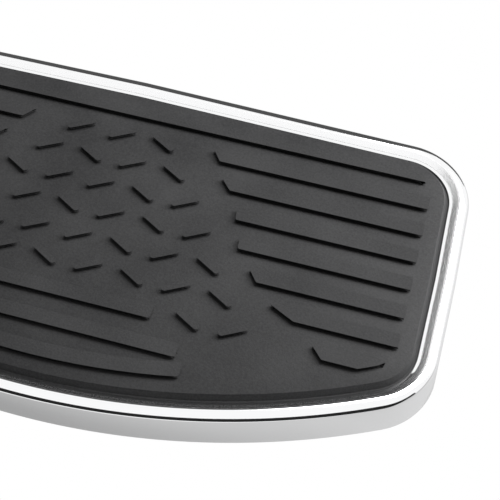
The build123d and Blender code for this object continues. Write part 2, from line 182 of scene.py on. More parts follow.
def welded(node_name):
    """A copy of a CAD node's mesh with its doubled points merged, to be worked on."""
    work = bmesh.new()
    work.from_mesh(nodes[node_name].data)
    bmesh.ops.remove_doubles(work, verts=work.verts, dist=weld_distance)
    return work


def new_piece(name, mesh, material, body):
    """An object that rides on a body and takes the finish that it is given."""
    mesh.materials.clear()
    mesh.materials.append(material)
    piece = bpy.data.objects.new(name, mesh)
    bpy.context.scene.collection.objects.link(piece)
    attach(piece, body)
    return piece


def hosted(name, data):
    """An object that is in the scene only while a piece is being made from it."""
    host = bpy.data.objects.new(name, data)
    bpy.context.scene.collection.objects.link(host)
    return host


def live_mesh(host, name):
    """The plain mesh that a host's modifiers make, when the host itself is put away."""
    made = host.evaluated_get(bpy.context.evaluated_depsgraph_get())
    mesh = bpy.data.meshes.new_from_object(made)
    mesh.name = name
    bpy.data.objects.remove(host)
    return mesh


def shaded(mesh, sharpest):
    """A mesh that is smooth but for the edges that turn by more than an angle."""
    for polygon in mesh.polygons:
        polygon.use_smooth = True
    mesh.set_sharp_from_angle(angle=math.radians(sharpest))
    return mesh


def softened(name, node_name, edge_radius, material, body, slot):
    """A CAD piece with its edges rounded, in place of its node."""
    work = welded(node_name)
    bmesh.ops.dissolve_limit(
        work, angle_limit=math.radians(flat_angle), verts=work.verts, edges=work.edges
    )
    sharp = bpy.data.meshes.new(name + "_sharp")
    work.to_mesh(sharp)
    work.free()
    host = hosted(name + "_host", sharp)
    rounding = host.modifiers.new("rounding", "BEVEL")
    rounding.width = edge_radius
    rounding.segments = edge_segments
    rounding.limit_method = "ANGLE"
    rounding.angle_limit = math.radians(crease_angle)
    mesh = shaded(live_mesh(host, name), crease_angle)
    piece = new_piece(name, mesh, material, body)
    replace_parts(piece, node_name)
    return piece


black_coat = finish_of(
    "black_coat",
    grain,
    {
        "Dark": (0.012, 0.012, 0.013, 1),
        "Light": (0.026, 0.026, 0.028, 1),
        "Grain Size": 0.0016,
        "Relief": 0.00006,
        "Smooth": 0.36,
        "Rough": 0.5,
    },
    {"Specular IOR Level": 0.5},
)
softened("bracket_casting", "mount_bracket", coat_edge_radius, black_coat, "bracket", "black_coat")

# Hinge lugs: two iron castings, riveted under the pan, blasted and coated as the bracket is. Their
# thinner cheeks and flanges have finer edges.
lug_edge_radius = 0.0006
sides = ("left", "right")
for side in sides:
    softened(f"lug_casting_{side}", f"hinge_lug_{side}", lug_edge_radius, black_coat, "board", "black_coat")

# Stop bumpers and isolators: smooth black rubber mouldings, pushed into their holes. Each has the
# rounded rims that a two-part mould leaves.
bumper_edge_radius = 0.0005
isolator_edge_radius = 0.0004
isolator_count = 4
moulded_rubber = finish_of(
    "moulded_rubber",
    grain,
    {
        "Dark": (0.018, 0.018, 0.018, 1),
        "Light": (0.034, 0.034, 0.034, 1),
        "Grain Size": 0.0009,
        "Relief": 0.00002,
        "Smooth": 0.45,
        "Rough": 0.62,
    },
    {"Specular IOR Level": 0.4},
)
for side in sides:
    bumper = (f"bumper_{side}", f"stop_bumper_{side}", bumper_edge_radius)
    softened(*bumper, moulded_rubber, "bracket", "moulded_rubber")
for number in range(1, isolator_count + 1):
    grommet = (f"grommet_{number}", f"isolator_{number}", isolator_edge_radius)
    softened(*grommet, moulded_rubber, "board", "moulded_rubber")

# Pivot pins and their washers: turned from bar and stamped from sheet, then bright zinc plated. The
# tool leaves fine rings round the hinge axis on the pins' heads.
pin_edge_radius = 0.0002
pin_centre = [(low + high) / 2 for low, high in zip(*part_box("pivot_pin_left"))]
zinc_dark = (0.5, 0.51, 0.53, 1)
zinc_light = (0.66, 0.67, 0.69, 1)
across_axis = (0, 1, 1)
tool_mottle_rate = 420


def turned_group():
    """Fine rings that a lathe tool leaves round an axis along X, over a slight mottle."""
    ends = surface_group(
        "turned_rings",
        (
            ("Dark", "Color", (0.5, 0.5, 0.5, 1)),
            ("Light", "Color", (0.7, 0.7, 0.7, 1)),
            ("Axis", "Vector", (0, 0, 0)),
            ("Ring Pitch", "Float", 0.0004),
            ("Relief", "Float", 0.00001),
            ("Smooth", "Float", 0.2),
            ("Rough", "Float", 0.35),
        ),
    )
    group, start, _ = ends
    place = group.nodes.new("ShaderNodeTexCoord").outputs["Object"]
    offset = worked(group, "ShaderNodeVectorMath", "SUBTRACT", (place, start.outputs["Axis"]))
    across = worked(group, "ShaderNodeVectorMath", "MULTIPLY", (offset, across_axis))
    radius = worked(group, "ShaderNodeVectorMath", "LENGTH", (across,), "Value")
    turns = worked(group, "ShaderNodeMath", "DIVIDE", (radius, start.outputs["Ring Pitch"]))
    ridge = worked(group, "ShaderNodeMath", "PINGPONG", (turns, 0.5))
    mottle = noise(group, place, tool_mottle_rate, detail=4)
    return surfaced(ends, mottle, mottle, ("Smooth", "Rough"), ridge)


turned = turned_group()
turned_zinc = finish_of(
    "turned_zinc",
    turned,
    {
        "Dark": zinc_dark,
        "Light": zinc_light,
        "Axis": pin_centre,
        "Ring Pitch": 0.00035,
        "Relief": 0.000008,
        "Smooth": 0.2,
        "Rough": 0.34,
    },
    {"Metallic": 1},
)
zinc_steel = finish_of(
    "zinc_steel",
    grain,
    {
        "Dark": zinc_dark,
        "Light": zinc_light,
        "Grain Size": 0.0022,
        "Relief": 0.00001,
        "Smooth": 0.2,
        "Rough": 0.34,
    },
    {"Metallic": 1},
)
for side in sides:
    pin = (f"hinge_pin_{side}", f"pivot_pin_{side}", pin_edge_radius)
    softened(*pin, turned_zinc, "bracket", "zinc_steel")
    washer = (f"flat_washer_{side}", f"pin_washer_{side}", pin_edge_radius)
    softened(*washer, zinc_steel, "bracket", "zinc_steel")

# Pin clips and coned washers: spring steel, hardened to a dark straw and oiled. The clips snap into
# the pins' grooves from below, and the washers are squeezed between the arms' eyes and the lugs.
clip_edge_radius = 0.00015
spring_steel = finish_of(
    "spring_steel",
    grain,
    {
        "Dark": (0.12, 0.12, 0.125, 1),
        "Light": (0.22, 0.22, 0.23, 1),
        "Grain Size": 0.0012,
        "Relief": 0.00001,
        "Smooth": 0.25,
        "Rough": 0.4,
    },
    {"Metallic": 1},
)
for side in sides:
    clip = (f"e_clip_{side}", f"pin_clip_{side}", clip_edge_radius)
    softened(*clip, spring_steel, "bracket", "spring_steel")


def dress(material, *node_names):
    """Gives CAD nodes their finish."""
    for node_name in node_names:
        mesh = nodes[node_name].data
        mesh.materials.clear()
        mesh.materials.append(material)


dress(spring_steel, "spring_washer_left", "spring_washer_right")

# Thrust washers: punched from natural nylon sheet. They lie on the other side of the arms' eyes, and
# keep them off the lugs.
nylon = finish_of(
    "nylon",
    grain,
    {
        "Dark": (0.66, 0.64, 0.57, 1),
        "Light": (0.76, 0.74, 0.68, 1),
        "Grain Size": 0.0015,
        "Relief": 0.00001,
        "Smooth": 0.38,
        "Rough": 0.5,
    },
    {"Subsurface Weight": 0.1},
)
dress(nylon, "thrust_washer_left", "thrust_washer_right")

# Hinge bushes: flanged bearings of turned bronze, pressed into the lugs' cheeks. The pins turn in
# them.
bronze = finish_of(
    "bronze",
    turned,
    {
        "Dark": (0.42, 0.26, 0.12, 1),
        "Light": (0.6, 0.4, 0.2, 1),
        "Axis": pin_centre,
        "Ring Pitch": 0.0003,
        "Relief": 0.000008,
        "Smooth": 0.22,
        "Rough": 0.38,
    },
    {"Metallic": 1},
)
dress(bronze, *(f"hinge_bush_{side}_{end}" for side in sides for end in ("inner", "outer")))

# Pan: pressed steel sheet, polished and chrome plated all over. From the well its wall rises to a
# sloping ledge, a cove and a crowned rim, and turns down into a deep skirt. The floor is drilled.
# A reach is outwards from the edge of the pad's top, and a drop is down from that top.
sheet = 0.0015
floor_drop = 0.0093
foot_radius = 0.0008
well_reach = 0.0018
ledge_drop = 0.0022
ledge_edge_radius = 0.0003
ledge_slope = 22
cove_reach = 0.0029
cove_radius = 0.001
mop_reach = 0.00293
rise_angle = 40
riser_share = 0.7
crown_reach = 0.0055
crown_radius = 0.0014
crown_angle = 4
crest_reach = 0.0048
dome_radius = 0.008
dome_angle = 8
crest_drop = 0.0001
bend_radius = 0.0027
skirt_reach = 0.0086
skirt_drop = 0.0159
hem_radius = 0.0004
bar_height = 0.0016
form_crease_angle = 34
haze_rate = 60


def mopped_group():
    """Bright plate, but for the bends that the polishing mop misses, where fine pits are left in it."""
    ends = surface_group(
        "mopped_plate",
        (
            ("Dark", "Color", (0.9, 0.9, 0.9, 1)),
            ("Light", "Color", (0.95, 0.95, 0.95, 1)),
            ("Pit Size", "Float", 0.0003),
            ("Relief", "Float", 0.00002),
            ("Polished", "Float", 0.05),
            ("Pitted", "Float", 0.3),
        ),
    )
    group, start, _ = ends
    place = group.nodes.new("ShaderNodeTexCoord").outputs["Object"]
    missed = group.nodes.new("ShaderNodeAttribute")
    missed.attribute_name = "unpolished"
    rate = worked(group, "ShaderNodeMath", "DIVIDE", (1, start.outputs["Pit Size"]))
    pits = noise(group, place, rate, detail=3)
    depth = worked(group, "ShaderNodeMath", "MULTIPLY", (pits, missed.outputs["Fac"]))
    haze = noise(group, place, haze_rate)
    return surfaced(ends, haze, missed.outputs["Fac"], ("Polished", "Pitted"), depth)


chrome_plate = finish_of(
    "chrome_plate",
    mopped_group(),
    {
        "Dark": (0.93, 0.935, 0.94, 1),
        "Light": (0.96, 0.96, 0.965, 1),
        "Pit Size": 0.0005,
        "Relief": 0.0001,
        "Polished": 0.06,
        "Pitted": 0.24,
    },
    {"Metallic": 1},
)


def level_outlines(node_name, height):
    """Outlines of a CAD node's level faces at a height, as rings of points, inside on the left."""
    height_slack = 0.00002
    least_upright = 0.99
    work = welded(node_name)
    # A list keeps the mesh's own order, so that every run starts each ring at the same point.
    level = [
        face
        for face in work.faces
        if face.normal.z > least_upright
        and all(abs(vert.co.z - height) < height_slack for vert in face.verts)
    ]
    follows = {}
    for face in level:
        for corner in face.loops:
            if sum(other in level for other in corner.edge.link_faces) == 1:
                follows[corner.vert] = corner.link_loop_next.vert
    outlines = []
    while follows:
        vert = next(iter(follows))
        ring = []
        while vert in follows:
            ring.append(Vector((vert.co.x, vert.co.y)))
            vert = follows.pop(vert)
        outlines.append(ring)
    work.free()
    return outlines


def ring_area(ring):
    """Area that a ring of points goes round, negative where it goes clockwise."""
    return sum(a.x * b.y - b.x * a.y for a, b in zip(ring, ring[1:] + ring[:1])) / 2


def with_neighbours(ring):
    """Each point of a ring, between the one before it and the one after it."""
    return zip(ring[-1:] + ring[:-1], ring, ring[1:] + ring[:1])


def straightened(ring):
    """A ring without the points that lie on straight runs or on their neighbours."""
    least_run = 0.00001
    least_turn = 0.3
    kept = []
    for before, here, after in with_neighbours(ring):
        first, second = here - before, after - here
        turn = abs(first.angle_signed(second, 0))
        if first.length > least_run and turn > math.radians(least_turn):
            kept.append(here)
    return kept


def offset_ring(ring, distance):
    """A ring moved outwards by a distance, with its points kept."""
    least_share = 0.5
    moved = []
    for before, here, after in with_neighbours(ring):
        first = (here - before).normalized()
        second = (after - here).normalized()
        normal = Vector((first.y + second.y, -first.x - second.x)).normalized()
        reach = distance / max(least_share, normal.dot(Vector((second.y, -second.x))))
        moved.append(here + normal * reach)
    return moved


def refined(ring):
    """A ring with a point more on each piece, set out on the arc that the turns at its ends give."""
    turns = [(here - before).angle_signed(after - here) for before, here, after in with_neighbours(ring)]
    points = []
    for index, here in enumerate(ring):
        after = (index + 1) % len(ring)
        along = ring[after] - here
        turn = min(turns[index], turns[after], key=abs)
        bulge = Vector((along.y, -along.x)) * math.tan(abs(turn) / 4) / 2
        points += [here, here + along / 2 + bulge]
    return points


def arc(reach, height, radius, start, end, steps=5):
    """Points of an arc in a section, from one angle to another, counted from outwards to up."""
    points = []
    for step in range(steps + 1):
        angle = math.radians(start + (end - start) * step / steps)
        points.append((reach + radius * math.cos(angle), height + radius * math.sin(angle)))
    return points


def rows_round(work, outline, section, level):
    """Rows of faces round an outline, one between each two neighbouring points of a section."""
    rows = []
    for outwards, height in section:
        ring = offset_ring(outline, outwards)
        rows.append([work.verts.new((point.x, point.y, level + height)) for point in ring])
    for first, second in zip(rows, rows[1:]):
        for step in range(len(outline)):
            after = (step + 1) % len(outline)
            work.faces.new((first[step], second[step], second[after], first[after]))
    return rows


def smooth_mesh(name, work):
    """The mesh of a finished solid, smooth but for its sharp edges."""
    bmesh.ops.recalc_face_normals(work, faces=work.faces)
    bmesh.ops.triangulate(work, faces=[face for face in work.faces if len(face.verts) > 4])
    mesh = bpy.data.meshes.new(name)
    work.to_mesh(mesh)
    work.free()
    for polygon in mesh.polygons:
        polygon.material_index = 0
    return shaded(mesh, form_crease_angle)


def rim_section():
    """The rim from the floor's upper face, over the crest and round the hem, to its lower face."""
    slope = math.radians(ledge_slope)
    ledge_end = -ledge_drop + (cove_reach - well_reach) * math.tan(slope)
    cove_middle = (cove_reach - cove_radius * math.sin(slope), ledge_end + cove_radius * math.cos(slope))
    dome_middle = (crest_reach, -crest_drop - dome_radius)
    dome_end = arc(*dome_middle, dome_radius, 90, 90 - dome_angle, steps=1)[1]
    bend_drop = bend_radius * math.cos(math.radians(dome_angle))
    bend_middle = (skirt_reach - bend_radius, dome_end[1] - bend_drop)
    hem_height = -skirt_drop + hem_radius
    hem_inside = skirt_reach - sheet + hem_radius
    riser_under = ledge_end - sheet * riser_share
    points = [(0, -floor_drop)]
    points += arc(well_reach - foot_radius, -floor_drop + foot_radius, foot_radius, -90, 0)
    points += arc(well_reach + ledge_edge_radius, -ledge_drop, ledge_edge_radius, 180, 90 + ledge_slope)
    points += arc(*cove_middle, cove_radius, ledge_slope - 90, rise_angle - 90)
    points += arc(crown_reach, -crest_drop - crown_radius, crown_radius, 90 + rise_angle, 90 + crown_angle)
    points += arc(*dome_middle, dome_radius, 90 - crown_angle, 90 - dome_angle, steps=3)
    points += arc(*bend_middle, bend_radius, 90 - dome_angle, 0, steps=12)[1:]
    points += arc(skirt_reach - hem_radius, hem_height, hem_radius, 0, -90, steps=3)
    points += arc(hem_inside, hem_height, hem_radius, -90, -180, steps=3)
    points += arc(*bend_middle, bend_radius - sheet, 0, 90)
    points += [(cove_reach + sheet, riser_under), (well_reach + sheet, riser_under - sheet / 2)]
    points += arc(well_reach, -floor_drop, sheet, 0, -90)
    return points + [(0, -floor_drop - sheet)]


bar_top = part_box("tread_pad")[1][2]
pad_top = bar_top - bar_height
pad_outline = refined(straightened(max(level_outlines("tread_pad", pad_top), key=ring_area)))
pan_solid = bmesh.new()
unpolished = pan_solid.verts.layers.float.new("unpolished")
rim = rim_section()
rim_rows = rows_round(pan_solid, pad_outline, rim, pad_top)
for (outwards, height), row in zip(rim, rim_rows):
    if mop_reach < outwards < crest_reach and height > -ledge_drop:
        for vert in row:
            vert[unpolished] = 1
holes = [ring for ring in level_outlines("pan", pad_top - floor_drop) if ring_area(ring) < 0]
hole_section = ((0, -floor_drop), (0, -floor_drop - sheet))
hole_rows = [rows_round(pan_solid, ring, hole_section, pad_top) for ring in holes]
for face_of, rim_row in ((0, rim_rows[0]), (1, rim_rows[-1])):
    edges = []
    for row in [rim_row] + [rows[face_of] for rows in hole_rows]:
        for first, second in zip(row, row[1:] + row[:1]):
            edges.append(pan_solid.edges.get((first, second)) or pan_solid.edges.new((first, second)))
    bmesh.ops.triangle_fill(pan_solid, edges=edges, use_beauty=True)
pan_mesh = smooth_mesh("pressed_pan", pan_solid)
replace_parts(new_piece("pressed_pan", pan_mesh, chrome_plate, "board"), "pan")

# Lug rivets, stud nuts and pad studs: zinc plated steel. The rivets' heads are domed by the set that
# closes them. The nuts are chamfered, with a round locking collar, and the studs' ends are threaded.
rivet_head_radius = 0.0045
rivet_head_height = 0.0013
rivet_shank_radius = 0.0025
rivet_crown_share = 0.92
nut_radius = 0.005
nut_chamfer = 0.0006
nut_chamfer_slope = 1.5
nut_chamfer_steps = 3
nut_collar_height = 0.0016
nut_collar_radius = 0.0047
nut_collar_edge = 0.0004
nut_bore_radius = 0.00302
nut_height = 0.004
nut_top = nut_collar_height + nut_height
stud_radius = 0.003
stud_point = 0.0006
stud_head_radius = 0.0045
stud_head_height = 0.0012
stud_washer_edge_radius = 0.0001
thread_length = 0.0085
thread_depth = 0.00055
thread_pitch = 0.001
thread_rows = 68
round_steps = 36


def islands(node_name):
    """Lowest and highest corners of each separate solid in a CAD node."""
    work = welded(node_name)
    seen = set()
    boxes = []
    for first in work.verts:
        if first in seen:
            continue
        group, queue = [], [first]
        seen.add(first)
        while queue:
            vert = queue.pop()
            group.append(vert.co.copy())
            for edge in vert.link_edges:
                other = edge.other_vert(vert)
                if other not in seen:
                    seen.add(other)
                    queue.append(other)
        low = Vector([min(point[axis] for point in group) for axis in range(3)])
        high = Vector([max(point[axis] for point in group) for axis in range(3)])
        boxes.append((low, high))
    work.free()
    return boxes


def round_pattern(name, rings, closed=True):
    """A round solid from rings of (radius, height). A radius may be a rule of the angle and height."""
    work = bmesh.new()
    rows = []
    for radius, height in rings:
        row = []
        for step in range(round_steps):
            angle = 2 * math.pi * step / round_steps
            reach = radius(angle, height) if callable(radius) else radius
            row.append(work.verts.new((reach * math.cos(angle), reach * math.sin(angle), height)))
        rows.append(row)
    pairs = list(zip(rows, rows[1:]))
    if not closed:
        pairs.append((rows[-1], rows[0]))
    for low_row, high_row in pairs:
        for step in range(round_steps):
            after = (step + 1) % round_steps
            work.faces.new((low_row[step], low_row[after], high_row[after], high_row[step]))
    if closed:
        work.faces.new(list(reversed(rows[0])))
        work.faces.new(rows[-1])
    bmesh.ops.recalc_face_normals(work, faces=work.faces)
    mesh = bpy.data.meshes.new(name)
    work.to_mesh(mesh)
    work.free()
    return hosted(name, shaded(mesh, crease_angle))


def geometry_tree(name, inputs, output):
    """An empty Geometry Nodes tree with named inputs and one output, and the nodes at its ends."""
    tree = bpy.data.node_groups.new(name, "GeometryNodeTree")
    for label, kind in inputs:
        tree.interface.new_socket(label, in_out="INPUT", socket_type="NodeSocket" + kind)
    tree.interface.new_socket(output, in_out="OUTPUT", socket_type="NodeSocketGeometry")
    return tree, tree.nodes.new("NodeGroupInput"), tree.nodes.new("NodeGroupOutput")


def finished_tree(ends, geometry):
    """Ends a tree: what it made becomes real geometry and takes its finish."""
    tree, start, end = ends
    real = tree.nodes.new("GeometryNodeRealizeInstances")
    tree.links.new(geometry, real.inputs[0])
    finish = tree.nodes.new("GeometryNodeSetMaterial")
    tree.links.new(real.outputs[0], finish.inputs["Geometry"])
    tree.links.new(start.outputs["Finish"], finish.inputs["Material"])
    tree.links.new(finish.outputs[0], end.inputs[0])
    return tree


def place_tree():
    """Sets a fastener at each point of the host, each turned a little further than the last."""
    ends = geometry_tree(
        "set_at_points",
        (("Places", "Geometry"), ("Fastener", "Object"), ("Turn", "Float"), ("Finish", "Material")),
        "Set",
    )
    tree, start, _ = ends
    fastener = tree.nodes.new("GeometryNodeObjectInfo")
    tree.links.new(start.outputs["Fastener"], fastener.inputs["Object"])
    index = tree.nodes.new("GeometryNodeInputIndex").outputs[0]
    turn = tree.nodes.new("ShaderNodeCombineXYZ")
    angle = worked(tree, "ShaderNodeMath", "MULTIPLY", (index, start.outputs["Turn"]))
    tree.links.new(angle, turn.inputs["Z"])
    rotation = tree.nodes.new("FunctionNodeEulerToRotation")
    tree.links.new(turn.outputs[0], rotation.inputs[0])
    instances = tree.nodes.new("GeometryNodeInstanceOnPoints")
    tree.links.new(start.outputs["Places"], instances.inputs["Points"])
    tree.links.new(fastener.outputs["Geometry"], instances.inputs["Instance"])
    tree.links.new(rotation.outputs[0], instances.inputs["Rotation"])
    return finished_tree(ends, instances.outputs[0])


set_at_points = place_tree()


def run_tree(tree, name, host_mesh, values):
    """The plain mesh that a Geometry Nodes tree makes from a host mesh and named values."""
    host = hosted(name + "_host", host_mesh)
    made_by = host.modifiers.new(tree.name, "NODES")
    made_by.node_group = tree
    for socket in tree.interface.items_tree:
        if socket.in_out == "INPUT" and socket.name in values:
            made_by[socket.identifier] = values[socket.name]
    return live_mesh(host, name)


def fastener_set(name, node_name, pattern, turn):
    """Fasteners of one pattern in the places of a node's solids, standing on their lowest points."""
    places = bpy.data.meshes.new(name + "_places")
    points = [((low.x + high.x) / 2, (low.y + high.y) / 2, low.z) for low, high in islands(node_name)]
    places.from_pydata(points, [], [])
    values = {"Fastener": pattern, "Turn": turn, "Finish": zinc_steel}
    mesh = run_tree(set_at_points, name, places, values)
    piece = new_piece(name, mesh, zinc_steel, "board")
    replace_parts(piece, node_name)
    bpy.data.objects.remove(pattern)
    return piece


def domed_head(start, rise):
    """Rings of a domed rivet head, from its rim at a height to its crown, or the other way."""
    dome_steps = 5
    rings = []
    for step in range(dome_steps + 1):
        tilt = math.pi / 2 * step / dome_steps
        reach = rivet_head_radius * math.cos(tilt * rivet_crown_share)
        rings.append((reach, start + rise * math.sin(tilt)))
    return rings


rivet_low, rivet_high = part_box("lug_rivets")
shank_end = rivet_high[2] - rivet_low[2] - rivet_head_height
rivet_rings = list(reversed(domed_head(rivet_head_height, -rivet_head_height)))
rivet_rings += [(rivet_shank_radius, rivet_head_height), (rivet_shank_radius, shank_end)]
rivet_rings += domed_head(shank_end, rivet_head_height)
fastener_set("domed_rivets", "lug_rivets", round_pattern("rivet_pattern", rivet_rings), turn=0.4)


def hexagon(angle, height):
    """Reach of a nut's hexagon at an angle and height. A cone at each face takes off its corners."""
    sector = math.pi / 3
    flat = nut_radius / math.cos((angle % sector) - sector / 2)
    cone_low = nut_radius + max(0.0, height - nut_collar_height) * nut_chamfer_slope
    cone_high = nut_radius + max(0.0, nut_top - height) * nut_chamfer_slope
    return min(flat, cone_low, cone_high)


chamfer_falls = [nut_chamfer * step / nut_chamfer_steps for step in range(nut_chamfer_steps + 1)]
chamfer_levels = [nut_collar_height + fall for fall in chamfer_falls]
chamfer_levels += [nut_top - fall for fall in reversed(chamfer_falls)]
nut_rings = [(nut_bore_radius, 0), (nut_collar_radius - nut_collar_edge, 0)]
nut_rings += [(nut_collar_radius, nut_collar_edge), (nut_collar_radius, nut_collar_height)]
nut_rings += [(hexagon, level) for level in chamfer_levels] + [(nut_bore_radius, nut_top)]
fastener_set("lock_nuts", "stud_nuts", round_pattern("nut_pattern", nut_rings, closed=False), turn=0.5)
softened("stud_plates", "stud_washers", stud_washer_edge_radius, zinc_steel, "board", "zinc_steel")


def threaded(angle, height):
    """Reach of a stud's thread at an angle and height, cut away towards the end."""
    along = (height / thread_pitch - angle / (2 * math.pi)) % 1
    groove = thread_depth * abs(2 * along - 1)
    taper = max(0.0, stud_point - height)
    return min(stud_radius - groove, stud_radius - taper)


stud_low, stud_high = islands("pad_studs")[0]
stud_span = stud_high.z - stud_low.z
stud_head_foot = stud_span - stud_head_height
stud_rings = [(threaded, thread_length * row / thread_rows) for row in range(thread_rows + 1)]
stud_rings += [(stud_radius, thread_length), (stud_radius, stud_head_foot)]
stud_rings += [(stud_head_radius, stud_head_foot), (stud_head_radius, stud_span)]
fastener_set("threaded_studs", "pad_studs", round_pattern("stud_pattern", stud_rings), turn=0.7)

# Pad plate: steel sheet with a grey phosphate coat, bonded into the back of the pad. The studs'
# heads are pressed flush into it.
plate_steel = finish_of(
    "plate_steel",
    grain,
    {
        "Dark": (0.1, 0.1, 0.105, 1),
        "Light": (0.2, 0.2, 0.21, 1),
        "Grain Size": 0.003,
        "Relief": 0.00002,
        "Smooth": 0.5,
        "Rough": 0.65,
    },
    {"Metallic": 0.6},
)
dress(plate_steel, "pad_plate")

# Tread pad: matt black rubber, moulded in one piece. Its slab has a bevelled edge and a recess for the
# plate, and each bar rises from it with a small fillet at its foot and a crisp upper edge.
bar_draft = 14
bar_corner = 0.0009
bar_edge_radius = 0.00018
bar_foot_radius = 0.0011
bar_foot_height = 0.000005
bar_root = 0.0006
least_corner = 25
slab_thickness = 0.007
plate_inset = 0.004
plate_thickness = 0.002
# Points of the slab's edge, each a reach outwards from the edge of the pad's top and a height.
slab_top = (-0.0001, 0)
slab_top_edge = (0.00006, -0.00008)
bevel_foot = (0.00068, -0.0013)
wall_top = (0.0007, -0.00135)
wall_foot = (0.00115, -0.0023)
flange_top = (0.00166, -0.0025)
flange_foot = (0.00172, -0.0068)
slab_foot = (0.0011, -slab_thickness)
recess_foot = (-plate_inset, -slab_thickness)
recess_top = (-plate_inset, plate_thickness - slab_thickness)
slab_section = (slab_top, slab_top_edge, bevel_foot, wall_top, wall_foot)
slab_section += (flange_top, flange_foot, slab_foot, recess_foot, recess_top)
tread_rubber = finish_of(
    "tread_rubber",
    grain,
    {
        "Dark": (0.029, 0.029, 0.03, 1),
        "Light": (0.055, 0.055, 0.056, 1),
        "Grain Size": 0.0007,
        "Relief": 0.00008,
        "Smooth": 0.5,
        "Rough": 0.62,
    },
    {"Specular IOR Level": 0.14},
)


def rounded(ring, radius):
    """A ring with an arc at each of its sharp corners."""
    corner_steps = 5
    points = []
    for before, here, after in with_neighbours(ring):
        inward, outward = (before - here), (after - here)
        turn = math.pi - inward.angle(outward)
        if turn < math.radians(least_corner):
            points.append(here)
            continue
        reach = min(radius * math.tan(turn / 2), inward.length / 2, outward.length / 2)
        start = here + inward.normalized() * reach
        end = here + outward.normalized() * reach
        for step in range(corner_steps + 1):
            share = step / corner_steps
            points.append(start * (1 - share) ** 2 + here * 2 * share * (1 - share) + end * share**2)
    return points


def run_curve(name, runs, closed):
    """A curve object with one run of straight pieces through each list of points."""
    curve = bpy.data.curves.new(name, "CURVE")
    curve.dimensions = "3D"
    for run in runs:
        spline = curve.splines.new("POLY")
        spline.points.add(len(run) - 1)
        for point, (x, y) in zip(spline.points, run):
            point.co = (x, y, 0, 1)
        spline.use_cyclic_u = closed
    return hosted(name, curve)


def bar_tree():
    """Runs an edge section round each outline and closes the solid at its top and at its root."""
    ends = geometry_tree(
        "raised_bars",
        (
            ("Host", "Geometry"),
            ("Outlines", "Object"),
            ("Edge Section", "Object"),
            ("Base Level", "Float"),
            ("Bar Height", "Float"),
            ("Root Depth", "Float"),
            ("Finish", "Material"),
        ),
        "Bars",
    )
    tree, start, _ = ends
    nodes_of, link = tree.nodes, tree.links.new
    outlines = nodes_of.new("GeometryNodeObjectInfo")
    link(start.outputs["Outlines"], outlines.inputs["Object"])
    section = nodes_of.new("GeometryNodeObjectInfo")
    link(start.outputs["Edge Section"], section.inputs["Object"])
    upright = nodes_of.new("GeometryNodeSetCurveNormal")
    upright.mode = "Z_UP"
    link(outlines.outputs["Geometry"], upright.inputs["Curve"])
    swept = nodes_of.new("GeometryNodeCurveToMesh")
    link(upright.outputs[0], swept.inputs["Curve"])
    link(section.outputs["Geometry"], swept.inputs["Profile Curve"])
    fill = nodes_of.new("GeometryNodeFillCurve")
    fill.mode = "NGONS"
    link(outlines.outputs["Geometry"], fill.inputs["Curve"])
    join = nodes_of.new("GeometryNodeJoinGeometry")
    link(swept.outputs[0], join.inputs[0])

    def lifted(geometry, level):
        """A geometry moved up by a level."""
        lift = nodes_of.new("ShaderNodeCombineXYZ")
        link(level, lift.inputs["Z"])
        move = nodes_of.new("GeometryNodeTransform")
        link(geometry, move.inputs["Geometry"])
        link(lift.outputs[0], move.inputs["Translation"])
        return move.outputs[0]

    for label, sign in (("Bar Height", 1), ("Root Depth", -1)):
        level = worked(tree, "ShaderNodeMath", "MULTIPLY", (start.outputs[label], sign))
        link(lifted(fill.outputs[0], level), join.inputs[0])
    weld = nodes_of.new("GeometryNodeMergeByDistance")
    weld.inputs["Distance"].default_value = weld_distance
    link(lifted(join.outputs[0], start.outputs["Base Level"]), weld.inputs["Geometry"])
    return finished_tree(ends, weld.outputs[0])


def bar_section():
    """The section of a bar's edge: crisp upper edge, drafted wall, fillet at the foot, and root."""
    draft = math.radians(bar_draft)
    lean = math.pi / 2 - draft
    edge_steps = 2
    foot_steps = 5
    points = []
    for step in range(edge_steps + 1):
        tilt = lean * step / edge_steps
        fall = bar_edge_radius * (1 - math.cos(tilt))
        points.append((bar_edge_radius * math.sin(tilt), bar_height - fall))
    wall_reach, wall_height = points[-1]
    fillet_top = bar_foot_radius * (1 - math.cos(lean))
    fillet_start = wall_reach + (wall_height - fillet_top) * math.tan(draft)
    fillet_middle = fillet_start + bar_foot_radius * math.sin(lean)
    for step in range(foot_steps + 1):
        tilt = lean * (1 - step / foot_steps)
        reach = fillet_middle - bar_foot_radius * math.sin(tilt)
        points.append((reach, bar_foot_radius * (1 - math.cos(tilt))))
    points[-1] = (fillet_middle, bar_foot_height)
    return points + [(fillet_middle, -bar_root), (0, -bar_root)]


top_rings = [straightened(ring) for ring in level_outlines("tread_pad", bar_top)]
bar_outlines = run_curve("bar_outlines", [rounded(ring, bar_corner) for ring in top_rings], closed=True)
inward_section = [(-reach, height) for reach, height in bar_section()]
bar_edge = run_curve("bar_edge", [inward_section], closed=False)
bars_mesh = run_tree(
    bar_tree(),
    "tread_bars",
    bpy.data.meshes.new("tread_bars_host"),
    {
        "Outlines": bar_outlines,
        "Edge Section": bar_edge,
        "Base Level": pad_top,
        "Bar Height": bar_height,
        "Root Depth": bar_root,
        "Finish": tread_rubber,
    },
)
bpy.data.objects.remove(bar_outlines)
bpy.data.objects.remove(bar_edge)
slab = bmesh.new()
slab_rows = rows_round(slab, pad_outline, slab_section, pad_top)
slab.faces.new(slab_rows[0])
slab.faces.new(list(reversed(slab_rows[-1])))
slab.from_mesh(bars_mesh)
tread_mesh = smooth_mesh("tread_pad_moulding", slab)
tread = new_piece("tread_pad_moulding", tread_mesh, tread_rubber, "board")
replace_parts(tread, "tread_pad")

